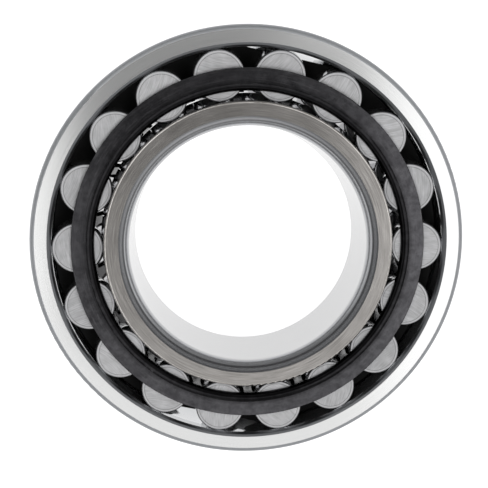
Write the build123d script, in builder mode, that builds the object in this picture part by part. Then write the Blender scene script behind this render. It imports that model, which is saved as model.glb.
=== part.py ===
from build123d import *
from math import cos, radians, sin, sqrt
import os

# Double-row self-aligning spherical roller bearing, millimetres.
# It lies flat: its axis is +Z, its centre is the origin and its faces are at z = +23 and z = -23.
# The front row is the one at z > 0. Angles run from +X towards +Y.

# Boundary sizes
BORE_R = 50.0
OUTER_R = 90.0
HALF_WIDTH = 23.0

# Outer ring: one spherical raceway, an oil groove round the outside and three oil holes
RACE_SPHERE_R = 83.9
OUTER_CORNER = 2.15
RACE_EDGE_Z = 21.0
BREAK_R = 81.95
BREAK_Z = 22.45
FACE_IN_R = 82.75
GROOVE_TOP = 9.5
GROOVE_FLOOR = 7.1
GROOVE_DEPTH = 1.2
OIL_HOLE_R = 2.4
OIL_HOLE_MOUTH = 0.5
OIL_HOLES = 3

# Barrel rollers: each row's axes lean in towards the bearing axis by the contact angle
ROLLERS_PER_ROW = 18
ROLLER_R = 10.75
ROLLER_LENGTH = 16.6
ROLLER_PROFILE_R = 82.5
ROLLER_END_R = 9.6
ROLLER_CORNER = 0.8
PITCH_DISTANCE = 73.03
CONTACT_ANGLE = 9.44
FRONT_START = 0.0
REAR_START = 3.5

# Inner ring: two concave raceways, no ribs
RACE_CLEARANCE = 0.12
INNER_PROFILE_R = 83.5
LAND_HALF = 0.6
INNER_RACE_END = 20.0
SHOULDER_R = 60.0
SHOULDER_Z = 22.2
FACE_OUTER_R = 59.1
FACE_INNER_R = 53.9
CHAMFER_R = 52.0
CHAMFER_Z = 20.1
BORE_WALL_HALF = 16.0

# Guide ring: a loose wedge-section ring between the rows, centred in the outer ring.
# Two opposite flats let it go in edge-on through the raceway's narrower mouth.
GUIDE_CLEARANCE = 0.3
GUIDE_BORE_R = 68.95
GUIDE_END_GAP = 0.25
GUIDE_ROUND = 0.5
GUIDE_FLAT = 80.3
GUIDE_FLAT_TURN = 77.5

# Cages: one pressed steel window cage for each row
SHEET = 1.6
SHEET_BREAK = 0.25
FLANGE_R = 73.15
FLANGE_Z = 22.7
BEND_R = 67.0
BEND_OUTSIDE = 3.0
CAGE_MID_GAP = 0.3
POCKET_END_GAP = 0.25
POCKET_SIDE_GAP = 0.2
POCKET_CORNER = 0.8

ANGLE = radians(CONTACT_ANGLE)
HALF_ROLLER = ROLLER_LENGTH / 2

os.makedirs("parts", exist_ok=True)


def row_point(height, along):
    """Section point (radius, z) of the front row.

    height is measured from the bearing centre along the contact line, along is measured
    from that line parallel to the roller's axis, positive towards the front face.
    """
    radius = height * cos(ANGLE) - along * sin(ANGLE)
    z = height * sin(ANGLE) + along * cos(ANGLE)
    return radius, z


def finish(solid, name):
    """Label a finished piece and write it as its own STEP file."""
    solid.label = name
    export_step(solid, f"parts/{name}.step")


def row_angles(start):
    return [start + 360 / ROLLERS_PER_ROW * i for i in range(ROLLERS_PER_ROW)]


def row_frame(side, angle, height):
    """Origin, contact direction and roller axis at one roller; side is 1 in front, -1 behind."""
    turn = radians(angle)
    outward = Vector(cos(turn), sin(turn), 0)
    up = Vector(0, 0, side)
    contact = outward * cos(ANGLE) + up * sin(ANGLE)
    roller_axis = up * cos(ANGLE) - outward * sin(ANGLE)
    return contact * height, contact, roller_axis


# Outer ring -----------------------------------------------------------------------------

race_edge_r = sqrt(RACE_SPHERE_R**2 - RACE_EDGE_Z**2)
corner_z = HALF_WIDTH - OUTER_CORNER
corner_r = OUTER_R - OUTER_CORNER
round_off = OUTER_CORNER * sqrt(0.5)
groove_r = OUTER_R - GROOVE_DEPTH

with BuildPart() as outer_ring:
    with BuildSketch(Plane.XZ):
        with BuildLine():
            ThreePointArc((race_edge_r, RACE_EDGE_Z), (RACE_SPHERE_R, 0), (race_edge_r, -RACE_EDGE_Z))
            for s in (1, -1):
                Polyline(
                    (race_edge_r, s * RACE_EDGE_Z),
                    (BREAK_R, s * BREAK_Z),
                    (FACE_IN_R, s * HALF_WIDTH),
                    (corner_r, s * HALF_WIDTH),
                )
                ThreePointArc(
                    (corner_r, s * HALF_WIDTH),
                    (corner_r + round_off, s * (corner_z + round_off)),
                    (OUTER_R, s * corner_z),
                )
                Polyline(
                    (OUTER_R, s * corner_z),
                    (OUTER_R, s * GROOVE_TOP / 2),
                    (groove_r, s * GROOVE_FLOOR / 2),
                )
            Line((groove_r, -GROOVE_FLOOR / 2), (groove_r, GROOVE_FLOOR / 2))
        make_face()
    revolve(axis=Axis.Z)
    hole_planes = []
    for i in range(OIL_HOLES):
        turn = radians(90 + 360 / OIL_HOLES * i)
        hole_planes.append(Plane(origin=(0, 0, 0), x_dir=(0, 0, 1), z_dir=(cos(turn), sin(turn), 0)))
    with BuildSketch(*hole_planes):
        Circle(OIL_HOLE_R)
    extrude(amount=OUTER_R, mode=Mode.SUBTRACT)
    mouths = outer_ring.faces().filter_by(GeomType.CYLINDER).sort_by(SortBy.AREA)[:OIL_HOLES].edges()
    outer_mouths = [edge for edge in mouths if edge.center().length > groove_r - OIL_HOLE_R]
    chamfer(outer_mouths, OIL_HOLE_MOUTH)
finish(outer_ring.part, "outer_ring")


# Inner ring -----------------------------------------------------------------------------

inner_contact = PITCH_DISTANCE - ROLLER_R - RACE_CLEARANCE
arc_r, arc_z = row_point(inner_contact + INNER_PROFILE_R, 0)


def inner_race_r(z):
    """Radius of the inner ring's raceway at a height z above the middle."""
    return arc_r - sqrt(INNER_PROFILE_R**2 - (z - arc_z) ** 2)


with BuildPart() as inner_ring:
    with BuildSketch(Plane.XZ):
        with BuildLine():
            for s in (1, -1):
                race = [(inner_race_r(z), s * z) for z in (LAND_HALF, INNER_RACE_END / 2, INNER_RACE_END)]
                ThreePointArc(*race)
                Line(race[2], (SHOULDER_R, s * SHOULDER_Z))
                TangentArc(
                    (FACE_OUTER_R, s * HALF_WIDTH),
                    (SHOULDER_R, s * SHOULDER_Z),
                    tangent=(1, 0),
                )
                Polyline(
                    (FACE_OUTER_R, s * HALF_WIDTH),
                    (FACE_INNER_R, s * HALF_WIDTH),
                    (CHAMFER_R, s * CHAMFER_Z),
                )
                TangentArc((BORE_R, s * BORE_WALL_HALF), (CHAMFER_R, s * CHAMFER_Z), tangent=(0, s))
            Line((inner_race_r(LAND_HALF), -LAND_HALF), (inner_race_r(LAND_HALF), LAND_HALF))
            Line((BORE_R, -BORE_WALL_HALF), (BORE_R, BORE_WALL_HALF))
        make_face()
    revolve(axis=Axis.Z)
finish(inner_ring.part, "inner_ring")


# Guide ring -----------------------------------------------------------------------------

guide_outer_r = RACE_SPHERE_R - GUIDE_CLEARANCE
end_offset = HALF_ROLLER + GUIDE_END_GAP
rim_r, rim_z = row_point(sqrt(guide_outer_r**2 - end_offset**2), -end_offset)
bore_height = (GUIDE_BORE_R - end_offset * sin(ANGLE)) / cos(ANGLE)
bore_z = row_point(bore_height, -end_offset)[1]

with BuildPart() as guide_ring:
    with BuildSketch(Plane.XZ) as wedge:
        with BuildLine():
            ThreePointArc((rim_r, rim_z), (guide_outer_r, 0), (rim_r, -rim_z))
            Polyline((rim_r, rim_z), (GUIDE_BORE_R, bore_z), (GUIDE_BORE_R, -bore_z), (rim_r, -rim_z))
        make_face()
        fillet(wedge.vertices(), GUIDE_ROUND)
    revolve(axis=Axis.Z)
    with PolarLocations(GUIDE_FLAT, 2, start_angle=GUIDE_FLAT_TURN):
        Box(10, 60, 30, align=(Align.MIN, Align.CENTER, Align.CENTER), mode=Mode.SUBTRACT)
finish(guide_ring.part, "guide_ring")


# Cages ----------------------------------------------------------------------------------

flange_under = FLANGE_Z - SHEET
bend_z = FLANGE_Z - BEND_OUTSIDE
bend_inside = BEND_OUTSIDE - SHEET
bend_mid = BEND_OUTSIDE - SHEET / 2
bend_height = BEND_R * cos(ANGLE) + bend_z * sin(ANGLE)
bend_along = bend_z * cos(ANGLE) - BEND_R * sin(ANGLE)
bar_in = bend_height - BEND_OUTSIDE
bar_out = bend_height - bend_inside
bar_mid = bend_height - bend_mid
bar_end = (CAGE_MID_GAP - bar_in * sin(ANGLE)) / cos(ANGLE)
half_bend = (radians(90) + ANGLE) / 2


def bend_point(radius, turn):
    """Point on the cage's bend, turned from straight up towards the bearing axis."""
    return BEND_R - radius * sin(turn), bend_z + radius * cos(turn)


# Each pocket is a barrel-sided window, widest beside the roller's middle
axis_drop = PITCH_DISTANCE - bar_out
pocket_end = HALF_ROLLER + POCKET_END_GAP
pocket_mid_half = sqrt(ROLLER_R**2 - axis_drop**2) + POCKET_SIDE_GAP
roller_end_r = ROLLER_R - ROLLER_PROFILE_R + sqrt(ROLLER_PROFILE_R**2 - HALF_ROLLER**2)
pocket_end_half = sqrt(roller_end_r**2 - axis_drop**2) + POCKET_SIDE_GAP


def make_cage(side, start, name):
    """The pressed cage of one row: flange, bend, slanting bars and the ring that joins them."""
    upside_down = Plane(origin=(0, 0, 0), x_dir=(1, 0, 0), z_dir=(0, 1, 0))
    with BuildPart() as cage:
        with BuildSketch(Plane.XZ if side > 0 else upside_down):
            with BuildLine():
                Polyline(
                    (BEND_R, FLANGE_Z),
                    (FLANGE_R - SHEET_BREAK, FLANGE_Z),
                    (FLANGE_R, FLANGE_Z - SHEET_BREAK),
                    (FLANGE_R, flange_under + SHEET_BREAK),
                    (FLANGE_R - SHEET_BREAK, flange_under),
                    (BEND_R, flange_under),
                )
                for radius in (BEND_OUTSIDE, bend_inside):
                    ThreePointArc(*[bend_point(radius, turn) for turn in (0, half_bend, 2 * half_bend)])
                Polyline(
                    bend_point(BEND_OUTSIDE, 2 * half_bend),
                    row_point(bar_in, bar_end),
                    row_point(bar_out, bar_end),
                    bend_point(bend_inside, 2 * half_bend),
                )
            make_face()
        revolve(axis=Axis.Z)
        pocket_planes = []
        for angle in row_angles(start):
            origin, contact, roller_axis = row_frame(side, angle, bar_mid)
            pocket_planes.append(Plane(origin=origin, x_dir=roller_axis, z_dir=contact))
        with BuildSketch(*pocket_planes) as pockets:
            with BuildLine():
                for s in (1, -1):
                    ThreePointArc(
                        (pocket_end, s * pocket_end_half),
                        (0, s * pocket_mid_half),
                        (-pocket_end, s * pocket_end_half),
                    )
                    Line((s * pocket_end, pocket_end_half), (s * pocket_end, -pocket_end_half))
            make_face()
            fillet(pockets.vertices(), POCKET_CORNER)
        extrude(amount=SHEET * 1.5, both=True, mode=Mode.SUBTRACT)
    finish(cage.part, name)


make_cage(1, FRONT_START, "front_cage")
make_cage(-1, REAR_START, "rear_cage")


# Rollers --------------------------------------------------------------------------------

shoulder_along = HALF_ROLLER - ROLLER_CORNER
shoulder_r = ROLLER_R - ROLLER_PROFILE_R + sqrt(ROLLER_PROFILE_R**2 - shoulder_along**2)
corner_round = ROLLER_CORNER * sqrt(0.5)


def make_roller(side, angle, name):
    """One barrel roller, turned about its own leaning axis."""
    origin, contact, roller_axis = row_frame(side, angle, PITCH_DISTANCE)
    section = Plane(origin=origin, x_dir=roller_axis, z_dir=roller_axis.cross(contact))
    with BuildPart() as roller:
        with BuildSketch(section):
            with BuildLine():
                ThreePointArc((-shoulder_along, shoulder_r), (0, ROLLER_R), (shoulder_along, shoulder_r))
                for s in (1, -1):
                    ThreePointArc(
                        (s * shoulder_along, shoulder_r),
                        (s * (shoulder_along + corner_round), ROLLER_END_R + corner_round),
                        (s * HALF_ROLLER, ROLLER_END_R),
                    )
                    Line((s * HALF_ROLLER, ROLLER_END_R), (s * HALF_ROLLER, 0))
                Line((-HALF_ROLLER, 0), (HALF_ROLLER, 0))
            make_face()
        revolve(axis=Axis(origin, roller_axis))
    finish(roller.part, name)


for side, row, start in ((1, "front", FRONT_START), (-1, "rear", REAR_START)):
    for number, angle in enumerate(row_angles(start), 1):
        make_roller(side, angle, f"roller_{row}_{number:02d}")
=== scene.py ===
import bpy
import math
from mathutils import Matrix, Vector


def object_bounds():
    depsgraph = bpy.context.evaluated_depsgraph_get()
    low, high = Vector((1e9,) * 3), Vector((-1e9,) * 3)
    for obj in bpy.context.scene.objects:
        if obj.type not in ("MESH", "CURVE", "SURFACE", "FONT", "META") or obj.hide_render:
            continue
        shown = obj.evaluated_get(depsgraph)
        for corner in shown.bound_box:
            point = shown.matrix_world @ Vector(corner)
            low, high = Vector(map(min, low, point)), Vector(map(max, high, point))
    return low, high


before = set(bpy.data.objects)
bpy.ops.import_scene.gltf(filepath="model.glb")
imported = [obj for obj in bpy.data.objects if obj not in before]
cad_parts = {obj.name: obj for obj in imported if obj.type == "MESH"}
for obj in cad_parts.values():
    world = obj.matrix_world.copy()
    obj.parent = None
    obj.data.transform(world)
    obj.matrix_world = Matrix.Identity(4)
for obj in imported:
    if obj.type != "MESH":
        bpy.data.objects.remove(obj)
CAD_BOX = [list(corner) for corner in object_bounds()]

MM = 0.001
scene = bpy.context.scene


# Camera ---------------------------------------------------------------------------------

CAMERA_TILT = math.radians(10.39)  # away from the bearing's axis
CAMERA_TURN = math.radians(109.65)  # round the axis, from +X
CAMERA_ROLL = math.radians(0.2)
CAMERA_DISTANCE = 341.48 * MM
CAMERA_LENS = 56.93
CAMERA_SENSOR = 36.0
CAMERA_SHIFT = (-0.00474, -0.01087)
CAMERA_CLIP = (0.01, 20.0)


def make_camera():
    """A near view from above the front face, a little off the bearing's axis."""
    off_axis = math.sin(CAMERA_TILT)
    away = Vector((off_axis * math.cos(CAMERA_TURN), off_axis * math.sin(CAMERA_TURN),
                   math.cos(CAMERA_TILT)))
    level = Vector((0, 1, 0)).cross(away).normalized()
    upright = away.cross(level)
    right = math.cos(CAMERA_ROLL) * level + math.sin(CAMERA_ROLL) * upright
    up = math.cos(CAMERA_ROLL) * upright - math.sin(CAMERA_ROLL) * level
    data = bpy.data.cameras.new("camera")
    data.sensor_width = CAMERA_SENSOR
    data.lens = CAMERA_LENS
    data.shift_x, data.shift_y = CAMERA_SHIFT
    data.clip_start, data.clip_end = CAMERA_CLIP
    camera = bpy.data.objects.new("camera", data)
    scene.collection.objects.link(camera)
    turn = Matrix((right, up, away)).transposed()
    camera.matrix_world = Matrix.Translation(away * CAMERA_DISTANCE) @ turn.to_4x4()
    scene.camera = camera


# Node graphs ----------------------------------------------------------------------------

MIX_SOCKETS = {"FLOAT": (2, 0), "RGBA": (6, 2)}  # numbers of the first input and of the result


class Graph:
    """A node tree built call by call. Each value is a socket or a plain number or vector."""

    def __init__(self, tree):
        self.tree = tree

    def node(self, kind, **settings):
        made = self.tree.nodes.new("ShaderNode" + kind)
        for key, value in settings.items():
            setattr(made, key, value)
        return made

    def feed(self, socket, value):
        if isinstance(value, bpy.types.NodeSocket):
            self.tree.links.new(value, socket)
        else:
            socket.default_value = value

    def math(self, operation, *values):
        made = self.node("Math", operation=operation)
        for socket, value in zip(made.inputs, values):
            self.feed(socket, value)
        return made.outputs["Value"]

    def add(self, a, b):
        return self.math("ADD", a, b)

    def sub(self, a, b):
        return self.math("SUBTRACT", a, b)

    def mul(self, a, b):
        return self.math("MULTIPLY", a, b)

    def vector(self, operation, *values, out="Vector", scale=None):
        made = self.node("VectorMath", operation=operation)
        for socket, value in zip(made.inputs, values):
            self.feed(socket, value)
        if scale is not None:
            self.feed(made.inputs["Scale"], scale)
        return made.outputs[out]

    def split(self, vector):
        made = self.node("SeparateXYZ")
        self.feed(made.inputs[0], vector)
        return made.outputs["X"], made.outputs["Y"], made.outputs["Z"]

    def join(self, x, y, z):
        made = self.node("CombineXYZ")
        for socket, value in zip(made.inputs, (x, y, z)):
            self.feed(socket, value)
        return made.outputs[0]

    def rise(self, value, low, high, bottom=0.0, top=1.0):
        """bottom below low, top above high, and a smooth step between. low may be above high."""
        made = self.node("MapRange", interpolation_type="SMOOTHSTEP", clamp=True)
        for socket, number in zip(made.inputs, (value, low, high, bottom, top)):
            self.feed(socket, number)
        return made.outputs["Result"]

    def band(self, value, low, high, soft):
        """1 from low to high and 0 outside, with edges that are soft wide on each side."""
        up = self.rise(value, low - soft, low + soft)
        down = self.rise(value, high + soft, high - soft)
        return self.mul(up, down)

    def noise(self, vector, scale, detail, roughness=0.5):
        made = self.node("TexNoise", noise_dimensions="3D", normalize=True)
        for name, value in (("Vector", vector), ("Scale", scale), ("Detail", detail),
                            ("Roughness", roughness), ("Distortion", 0.0)):
            self.feed(made.inputs[name], value)
        return made.outputs["Fac"]

    def mix(self, kind, share, a, b, way="MIX"):
        made = self.node("Mix", data_type=kind, blend_type=way, clamp_factor=True)
        first, result = MIX_SOCKETS[kind]
        self.feed(made.inputs["Factor"], share)
        for socket, value in ((made.inputs[first], a), (made.inputs[first + 1], b)):
            self.feed(socket, (*value, 1.0) if isinstance(value, tuple) else value)
        return made.outputs[result]

    def blend(self, share, a, b):
        """Numbers, or colours written out: a at share 0, b at share 1."""
        colours = isinstance(a, tuple) or isinstance(b, tuple)
        return self.mix("RGBA" if colours else "FLOAT", share, a, b)

    def tint(self, share, a, b):
        """Like blend, for colours that come from sockets."""
        return self.mix("RGBA", share, a, b)

    def shade(self, colour, factor):
        """The colour times a number."""
        return self.mix("RGBA", 1.0, colour, self.join(factor, factor, factor), way="MULTIPLY")

    def bump(self, height, distance):
        made = self.node("Bump")
        for name, value in (("Strength", 1.0), ("Distance", distance), ("Height", height)):
            self.feed(made.inputs[name], value)
        return made.outputs["Normal"]


# Studio ---------------------------------------------------------------------------------

# Brightness
PALE = 0.95  # the pale surroundings, level with the floor
LOW_BACK, LOW_FRONT = 0.26, 0.95  # the room just above them, behind and in front
WALL_LEFT, WALL_RIGHT = 0.2, 0.5  # the dim room higher up
ROOF_NEAR, ROOF_SIDES = 1.2, 1.8  # the soft boxes overhead, in the middle and at the sides
GAP, GAP_TOP, GAP_RIGHT = 0.16, 0.38, 0.75  # the gap between the boxes, where the camera is

# Directions in the sky, as x, y or z of a unit vector. A change runs from the first of a pair
# to the second. The gap is given by its two edges and how soft they are.
PALE_TOP, LOW_TOP, ROOF_FOOT = (0.04, 0.08), (0.25, 0.4), (0.66, 0.82)  # z
LOW_CHANGE = (0.75, 0.1)  # y
WALL_SLANT, WALL_CHANGE = 0.6, (-0.7, 0.9)  # x less the slant's share of y
ROOF_MIDDLE, ROOF_SIDE = 0.026, (0.16, 0.25)  # x, and how far to either side of it
GAP_X, GAP_X_SOFT = (-0.168, 0.215), 0.016
GAP_Y, GAP_Y_SOFT = (-0.285, 0.5), 0.025
GAP_TOP_Y = (-0.02, 0.07)
GAP_RIGHT_X, GAP_RIGHT_Y = (0.09, 0.125), (0.03, 0.06)

FLOOR_HALF = 3.0
FLOOR_DROP = 0.05 * MM  # below the bearing
FLOOR_GREY, FLOOR_ROUGHNESS, FLOOR_GLOW = 0.3, 0.9, 0.95


def make_world():
    """Soft boxes overhead with a dark gap for the camera, a dim room, and pale surroundings."""
    world = bpy.data.worlds.new("soft_box_studio")
    scene.world = world
    world.use_nodes = True
    g = Graph(world.node_tree)
    x, y, z = g.split(g.node("TexCoord").outputs["Generated"])
    sides = g.rise(g.math("ABSOLUTE", g.sub(x, ROOF_MIDDLE)), *ROOF_SIDE)
    roof = g.blend(sides, ROOF_NEAR, ROOF_SIDES)
    gap = g.mul(g.band(x, *GAP_X, GAP_X_SOFT), g.band(y, *GAP_Y, GAP_Y_SOFT))
    dark = g.blend(g.rise(y, *GAP_TOP_Y), GAP, GAP_TOP)
    right = g.mul(g.rise(x, *GAP_RIGHT_X), g.rise(y, *GAP_RIGHT_Y))
    dark = g.blend(right, dark, GAP_RIGHT)
    roof = g.blend(gap, roof, dark)
    wall = g.blend(g.rise(g.sub(x, g.mul(y, WALL_SLANT)), *WALL_CHANGE), WALL_LEFT, WALL_RIGHT)
    low = g.blend(g.rise(y, *LOW_CHANGE), LOW_BACK, LOW_FRONT)
    light = g.blend(g.rise(z, *LOW_TOP), low, wall)
    light = g.blend(g.rise(z, *PALE_TOP), PALE, light)
    light = g.blend(g.rise(z, *ROOF_FOOT), light, roof)
    back = world.node_tree.nodes["Background"]
    g.feed(back.inputs["Strength"], light)
    back.inputs["Color"].default_value = (1.0, 1.0, 1.0, 1.0)


def make_floor():
    """A pale glowing floor that the bearing lies on."""
    z = CAD_BOX[0][2] - FLOOR_DROP
    corners = [(FLOOR_HALF * x, FLOOR_HALF * y, z) for x, y in ((-1, -1), (1, -1), (1, 1), (-1, 1))]
    mesh = bpy.data.meshes.new("floor")
    mesh.from_pydata(corners, [], [(0, 1, 2, 3)])
    floor = bpy.data.objects.new("floor", mesh)
    scene.collection.objects.link(floor)
    material = bpy.data.materials.new("pale_floor")
    material.use_nodes = True
    shader = material.node_tree.nodes["Principled BSDF"]
    shader.inputs["Base Color"].default_value = (FLOOR_GREY, FLOOR_GREY, FLOOR_GREY, 1.0)
    shader.inputs["Roughness"].default_value = FLOOR_ROUGHNESS
    shader.inputs["Specular IOR Level"].default_value = 0.0
    shader.inputs["Emission Color"].default_value = (1.0, 1.0, 1.0, 1.0)
    shader.inputs["Emission Strength"].default_value = FLOOR_GLOW
    mesh.materials.append(material)


# Materials ------------------------------------------------------------------------------

# Places on the pieces in millimetres: radii from the axis and heights from the middle plane.
# A finish fades in from the first of a pair to the second. A band has two edges and a softness.
OUTER_FACE, OUTER_FACE_SOFT, OUTER_FACE_HEIGHT = (82.78, 87.85), 0.03, (21.5, 22.0)
OUTER_BREAK = (82.8, 82.7)  # the small corner between the face and the raceway
OUTER_WALL, OUTER_WALL_HEIGHT = (89.5, 89.8), (20.87, 20.8)
OUTER_RACE = (84.15, 83.98)  # distance from the bearing's centre
GROOVE, GROOVE_HEIGHT = (89.95, 89.8), (6.0, 5.0)
GROOVE_FLOOR = (87.0, 87.3)  # the groove's finish ends here, inside the oil holes

BORE = (50.25, 50.1)
BORE_CORNER, BORE_CORNER_SOFT = (53.95, 53.85), 0.12
# Painted shade and highlight on the bore corner: dark bands at the lip and the step, the chamfer
# darkened and the arc by the bore lightened.
CORNER_LIP_SHADE, CORNER_STEP_SHADE, CORNER_LIGHT_AND_SHADE = (53.35, 54.1), (51.95, 52.55), (51.95, 51.8)
# Painted highlight: the rounded rim at the face's outer edge is lightened 1.5 times.
INNER_RIM_HIGHLIGHT, INNER_RIM_HIGHLIGHT_HEIGHT = (59.0, 59.12), (22.0, 22.25)
INNER_RACE, INNER_RACE_HEIGHT = (60.0, 60.05), (22.0, 21.5)

ROLLER_STEP = math.radians(20.0)
ROLLER_LEAN = math.radians(9.44)
ROLLER_PLACE = 73.03  # from the bearing's centre to a roller's
FRONT_START, REAR_START = 0.0, math.radians(3.5)  # where each row's first roller is
ROLLER_END = (8.2, 8.28)  # along the roller's own axis
# Painted shade: a dark thin ring on each end where the corner's rounding starts.
ROLLER_SHADE_LINE, ROLLER_SHADE_LINE_SOFT = (9.0, 9.22), 0.07  # radii on the end
ROLLER_CORNER = (9.25, 9.4)
SWING_SPREAD = 37.0  # radians, so that the rollers' lines lie every way
LINE_BOW, LINE_FINENESS, LINE_REACH = 0.012, 5.0, 0.18

FLANGE_HEIGHT = (22.6, 22.68)
# Painted shade: inwards of this the blackened colour darkens to 0.6, on the bend.
FLANGE_BEND_SHADE = (66.9, 69.0)
FLANGE_EDGE, FLANGE_EDGE_SOFT = (72.85, 73.4), 0.05

# How rough. A pair runs from the low to the high places of the marks.
GROUND_ROUGH, TURNED_ROUGH, BREAK_ROUGH, GROOVE_ROUGH = (0.12, 0.19), 0.52, 0.3, 0.42
FACE_ROUGH, BORE_ROUGH, CORNER_ROUGH = (0.2, 0.28), (0.13, 0.2), 0.22
RACE_ROUGH, BARREL_ROUGH, ROLLER_END_ROUGH = 0.05, 0.06, (0.52, 0.6)
GUIDE_RING_ROUGH, CAGE_ROUGH, CAGE_MARK_ROUGH = (0.35, 0.45), (0.12, 0.2), 0.06

MIDDLE = (0.3, 0.7)  # the part of a noise where it does most of its changing


class Finish(Graph):
    """A metal finish. Places are in millimetres in the bearing's own frame."""

    def __init__(self, name, **settings):
        self.material = bpy.data.materials.new(name)
        self.material.use_nodes = True
        super().__init__(self.material.node_tree)
        self.shader = self.tree.nodes["Principled BSDF"]
        for key, value in settings.items():
            self.shader.inputs[key].default_value = value
        coordinates = self.node("TexCoord").outputs["Object"]
        self.place = self.vector("SCALE", coordinates, scale=1.0 / MM)
        self.x, self.y, self.z = self.split(self.place)
        self.radius = self.vector("LENGTH", self.join(self.x, self.y, 0.0), out="Value")
        self.height = self.math("ABSOLUTE", self.z)

    def marks(self, across, fineness, reach=3.0, detail=2.0):
        """Fine marks round the axis: quick changes along across, slow ones round the ring."""
        round_x = self.mul(self.math("DIVIDE", self.x, self.radius), reach)
        round_y = self.mul(self.math("DIVIDE", self.y, self.radius), reach)
        return self.noise(self.join(round_x, round_y, self.mul(across, fineness)), 1.0, detail)

    def done(self, colour, rough, normal=None):
        self.feed(self.shader.inputs["Base Color"], colour)
        self.feed(self.shader.inputs["Roughness"], rough)
        if normal is not None:
            self.feed(self.shader.inputs["Normal"], normal)
        return self.material


def outer_ring_steel():
    """Ground face and outside, turned corners and groove, polished raceway, painted shade on the
    corner into the raceway.
    """
    f = Finish("outer_ring_ground_steel", Metallic=0.94)
    face = f.rise(f.height, *OUTER_FACE_HEIGHT)
    face = f.mul(face, f.band(f.radius, *OUTER_FACE, OUTER_FACE_SOFT))
    wall = f.mul(f.rise(f.radius, *OUTER_WALL), f.rise(f.height, *OUTER_WALL_HEIGHT))
    groove = f.mul(f.rise(f.radius, *GROOVE), f.rise(f.height, *GROOVE_HEIGHT))
    groove = f.mul(groove, f.rise(f.radius, *GROOVE_FLOOR))
    race = f.rise(f.vector("LENGTH", f.place, out="Value"), *OUTER_RACE)
    inner_break = f.rise(f.radius, *OUTER_BREAK)
    face_marks = f.marks(f.radius, fineness=6.0)
    wall_marks = f.marks(f.z, fineness=7.0)
    turned_marks = f.marks(f.radius, fineness=3.0, reach=6.0)
    broad = f.noise(f.place, scale=0.05, detail=3.0)
    marks = f.blend(face, wall_marks, face_marks)
    machined = f.math("MAXIMUM", face, wall)
    turned = f.blend(turned_marks, (0.305, 0.315, 0.33), (0.4, 0.41, 0.425))
    # Painted shade: the turned colour is darkened to 0.56 on the small corner into the raceway.
    turned = f.shade(turned, f.blend(inner_break, 1.0, 0.56))
    ground = f.blend(marks, (0.58, 0.585, 0.585), (0.69, 0.69, 0.685))
    wall_ground = f.blend(wall_marks, (0.36, 0.36, 0.36), (0.60, 0.60, 0.595))
    ground = f.tint(wall, ground, wall_ground)
    polished = f.blend(broad, (0.64, 0.65, 0.66), (0.73, 0.74, 0.75))
    colour = f.tint(machined, turned, ground)
    colour = f.tint(race, colour, polished)
    colour = f.tint(groove, colour, (0.16, 0.16, 0.165))
    rough = f.blend(inner_break, TURNED_ROUGH, BREAK_ROUGH)
    rough = f.blend(machined, rough, f.blend(marks, *GROUND_ROUGH))
    rough = f.blend(race, rough, RACE_ROUGH)
    rough = f.blend(groove, rough, GROOVE_ROUGH)
    return f.done(colour, rough, f.bump(f.mul(marks, machined), distance=0.003 * MM))


def inner_ring_steel():
    """Ground face and bore, a turned corner between them, polished raceways, with painted highlight
    on the face's rim and painted shade and highlight on the corner.
    """
    f = Finish("inner_ring_ground_steel", Metallic=0.92)
    bore = f.rise(f.radius, *BORE)
    corner = f.mul(f.rise(f.radius, *BORE_CORNER), f.sub(1.0, bore))
    race = f.mul(f.rise(f.radius, *INNER_RACE), f.rise(f.height, *INNER_RACE_HEIGHT))
    rim_highlight = f.mul(f.rise(f.radius, *INNER_RIM_HIGHLIGHT), f.rise(f.height, *INNER_RIM_HIGHLIGHT_HEIGHT))
    # Painted shade at the lip and the step, painted shade on the chamfer and painted highlight on
    # the arc by the bore.
    lip_shade = f.band(f.radius, *CORNER_LIP_SHADE, BORE_CORNER_SOFT)
    step = f.band(f.radius, *CORNER_STEP_SHADE, BORE_CORNER_SOFT)
    corner_light_and_shade = f.rise(f.radius, *CORNER_LIGHT_AND_SHADE, bottom=0.8, top=1.15)
    face_marks = f.marks(f.radius, fineness=5.0, reach=5.0)
    bore_marks = f.marks(f.z, fineness=6.0)
    corner_marks = f.marks(f.radius, fineness=2.5, reach=6.0)
    broad = f.noise(f.place, scale=0.08, detail=4.0)
    face_colour = f.rise(face_marks, 0.25, 0.75)
    face_colour = f.blend(face_colour, (0.25, 0.238, 0.227), (0.385, 0.37, 0.355))
    face_colour = f.shade(face_colour, f.rise(broad, *MIDDLE, bottom=0.92, top=1.06))
    # Painted highlight on the rim at the face's outer edge.
    face_colour = f.shade(face_colour, f.blend(rim_highlight, 1.0, 1.5))
    bore_colour = f.blend(bore_marks, (0.53, 0.53, 0.535), (0.61, 0.61, 0.615))
    corner_colour = f.blend(corner_marks, (0.335, 0.34, 0.352), (0.425, 0.43, 0.442))
    corner_colour = f.shade(corner_colour, f.blend(lip_shade, f.blend(step, corner_light_and_shade, 0.4), 0.5))
    colour = f.tint(bore, face_colour, bore_colour)
    colour = f.tint(corner, colour, corner_colour)
    colour = f.tint(race, colour, (0.62, 0.62, 0.63))
    face_rough = f.blend(face_marks, *FACE_ROUGH)
    rough = f.blend(bore, face_rough, f.blend(bore_marks, *BORE_ROUGH))
    rough = f.blend(corner, rough, CORNER_ROUGH)
    rough = f.blend(race, rough, RACE_ROUGH)
    height = f.mul(f.blend(bore, face_marks, bore_marks), f.sub(1.0, race))
    return f.done(colour, rough, f.bump(height, distance=0.005 * MM))


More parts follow.
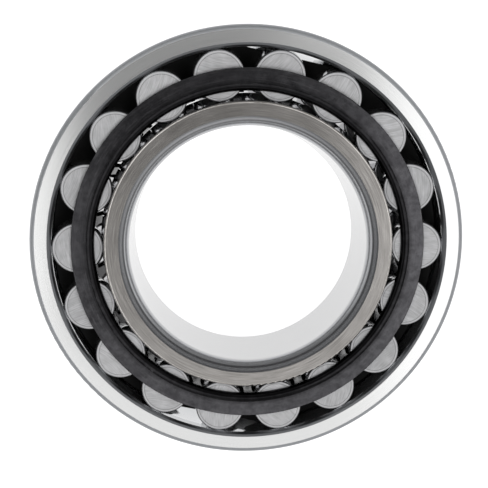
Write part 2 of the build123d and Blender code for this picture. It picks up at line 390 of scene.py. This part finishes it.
def roller_steel(side, start):
    """One finish for a row of rollers: a place is first turned to the row's first roller.

    side is 1 for the front row and -1 for the rear one.
    """
    f = Finish("roller_steel_" + ("front" if side > 0 else "rear"), Metallic=0.95)
    angle = f.math("ARCTAN2", f.y, f.x)
    count = f.math("ROUND", f.math("DIVIDE", f.sub(angle, start), ROLLER_STEP))
    turn = f.node("VectorRotate", rotation_type="Z_AXIS")
    f.feed(turn.inputs["Vector"], f.place)
    f.feed(turn.inputs["Angle"], f.mul(f.add(f.mul(count, ROLLER_STEP), start), -1.0))

    outward = Vector((math.cos(ROLLER_LEAN), 0.0, side * math.sin(ROLLER_LEAN)))
    axis = Vector((-math.sin(ROLLER_LEAN), 0.0, side * math.cos(ROLLER_LEAN)))
    local = f.vector("SUBTRACT", turn.outputs[0], outward * ROLLER_PLACE)
    u = f.vector("DOT_PRODUCT", local, outward, out="Value")
    v = f.vector("DOT_PRODUCT", local, (0.0, 1.0, 0.0), out="Value")
    w = f.vector("DOT_PRODUCT", local, axis, out="Value")
    reach = f.vector("LENGTH", f.join(u, v, 0.0), out="Value")
    end = f.rise(f.math("ABSOLUTE", w), *ROLLER_END)
    shade_line = f.band(reach, *ROLLER_SHADE_LINE, ROLLER_SHADE_LINE_SOFT)

    # Fine lines cross each end, slightly bowed, at an angle of the roller's own.
    chance = f.node("ObjectInfo").outputs["Random"]
    swing = f.mul(chance, SWING_SPREAD)
    across = f.add(f.mul(u, f.math("COSINE", swing)), f.mul(v, f.math("SINE", swing)))
    along = f.sub(f.mul(v, f.math("COSINE", swing)), f.mul(u, f.math("SINE", swing)))
    bowed = f.add(across, f.mul(f.mul(along, along), LINE_BOW))
    streaks = f.join(f.mul(bowed, LINE_FINENESS), f.mul(along, LINE_REACH), swing)
    lines = f.noise(streaks, scale=1.0, detail=3.0)
    shifted = f.vector("ADD", local, f.join(swing, swing, 0.0))
    cloud = f.noise(shifted, scale=0.22, detail=4.0)

    satin = f.blend(f.rise(lines, *MIDDLE), (0.38, 0.38, 0.385), (0.54, 0.54, 0.55))
    satin = f.shade(satin, f.rise(cloud, *MIDDLE, bottom=0.93, top=1.07))
    satin = f.shade(satin, f.add(0.94, f.mul(chance, 0.12)))
    # Painted shade: the dark thin ring near the end's edge.
    satin = f.tint(f.mul(shade_line, 0.7), satin, (0.1, 0.1, 0.1))
    satin = f.tint(f.rise(reach, *ROLLER_CORNER), satin, (0.5, 0.5, 0.51))
    barrel = (0.52, 0.52, 0.53)
    colour = f.tint(end, barrel, satin)
    rough = f.blend(end, BARREL_ROUGH, f.blend(lines, *ROLLER_END_ROUGH))
    return f.done(colour, rough, f.bump(f.mul(end, lines), distance=0.004 * MM))


def guide_ring_shade_finish():
    """Near-black painted shade on the guide ring, so that the gaps between the rollers stay black.
    """
    f = Finish("guide_ring_painted_shade", Metallic=0.0)
    f.shader.inputs["Specular IOR Level"].default_value = 0.1
    marks = f.marks(f.radius, fineness=3.0, reach=5.0)
    # Painted shade: near black, standing in for the shade between the rows.
    colour = f.blend(marks, (0.0006, 0.0006, 0.0006), (0.002, 0.0019, 0.0018))
    return f.done(colour, f.blend(marks, *GUIDE_RING_ROUGH))


def blackened_cage():
    """Blackened sheet with turning marks and specks, painted shade on the bend and the bars, and a
    lighter outer edge.
    """
    f = Finish("blackened_cage_steel", Metallic=1.0)
    unshaded_flange = f.rise(f.height, *FLANGE_HEIGHT)
    edge = f.band(f.radius, *FLANGE_EDGE, FLANGE_EDGE_SOFT)
    marks = f.marks(f.radius, fineness=2.5, reach=8.0, detail=4.0)
    cloud = f.noise(f.place, scale=0.16, detail=6.0, roughness=0.62)
    mottle = f.noise(f.place, scale=0.4, detail=6.0, roughness=0.7)
    specks = f.noise(f.place, scale=1.3, detail=5.0, roughness=0.75)
    grain = f.noise(f.place, scale=2.2, detail=4.0, roughness=0.7)
    black = f.blend(f.rise(cloud, *MIDDLE), (0.05, 0.049, 0.053), (0.074, 0.073, 0.078))
    black = f.shade(black, f.rise(mottle, 0.32, 0.68, bottom=0.78, top=1.24))
    black = f.tint(f.mul(f.rise(marks, 0.52, 0.72), 0.6), black, (0.1, 0.098, 0.103))
    # Painted shade on the bend, darker towards the inside.
    black = f.shade(black, f.rise(f.radius, *FLANGE_BEND_SHADE, bottom=0.6))
    black = f.tint(f.mul(f.rise(specks, 0.64, 0.72), 0.7), black, (0.22, 0.21, 0.2))
    # Painted shade: the bend and the bars below the flat flange are darkened to 0.45.
    colour = f.tint(unshaded_flange, f.shade(black, 0.45), black)
    # A lighter outer edge on the flange, mixed in at half strength.
    colour = f.tint(f.mul(edge, 0.5), colour, (0.16, 0.16, 0.16))
    rough = f.blend(grain, *CAGE_ROUGH)
    rough = f.add(rough, f.rise(marks, 0.4, 0.7, top=CAGE_MARK_ROUGH))
    height = f.add(f.mul(grain, 0.6), f.mul(marks, 0.8))
    return f.done(colour, rough, f.bump(height, distance=0.006 * MM))


make_camera()
make_world()
make_floor()
scene.view_settings.view_transform = "Standard"
scene.view_settings.look = "None"

finishes = {
    "outer_ring": outer_ring_steel(),
    "inner_ring": inner_ring_steel(),
    "guide_ring": guide_ring_shade_finish(),
    "front_cage": blackened_cage(),
    "roller_front": roller_steel(1, FRONT_START),
    "roller_rear": roller_steel(-1, REAR_START),
}
finishes["rear_cage"] = finishes["front_cage"]

for name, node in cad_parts.items():
    finish = next(made for start, made in finishes.items() if name.startswith(start))
    for slot in node.material_slots:
        slot.material = finish
